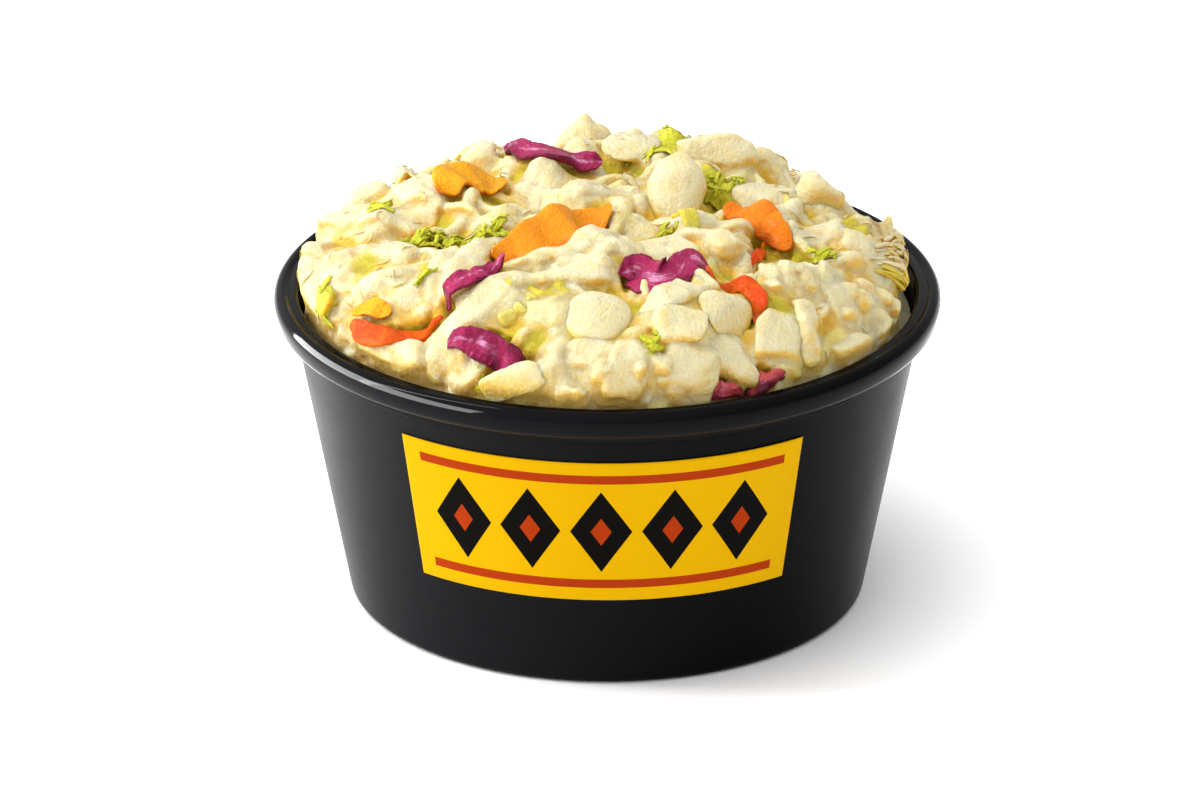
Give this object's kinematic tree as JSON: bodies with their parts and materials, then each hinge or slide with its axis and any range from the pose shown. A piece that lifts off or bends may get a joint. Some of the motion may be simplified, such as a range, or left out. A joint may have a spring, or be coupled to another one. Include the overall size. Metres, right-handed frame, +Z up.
{
  "type": "coleslaw in a cup",
  "caption": "Creamy coleslaw heaped above the rim of a round tapered plastic side cup with a rolled rim and a plain curved label on the front.",
  "frame": {"origin": "on the table, under the middle of the cup's base", "axes": "+Z up, along the cup's axis; the label on the cup's front faces -Y; +X to the right as the front is seen"},
  "size_m": [0.1, 0.1, 0.0666],
  "materials": {
    "cup_plastic": "satin injection-moulded polypropylene, black",
    "label_print": "semi-gloss printed film, yellow",
    "slaw": "shredded and chopped cabbage with carrot in creamy dressing, wet"
  },
  "bodies": {
    "root": {"cup": "cup_plastic", "label": "label_print", "slaw": "slaw"}
  },
  "joints": []
}
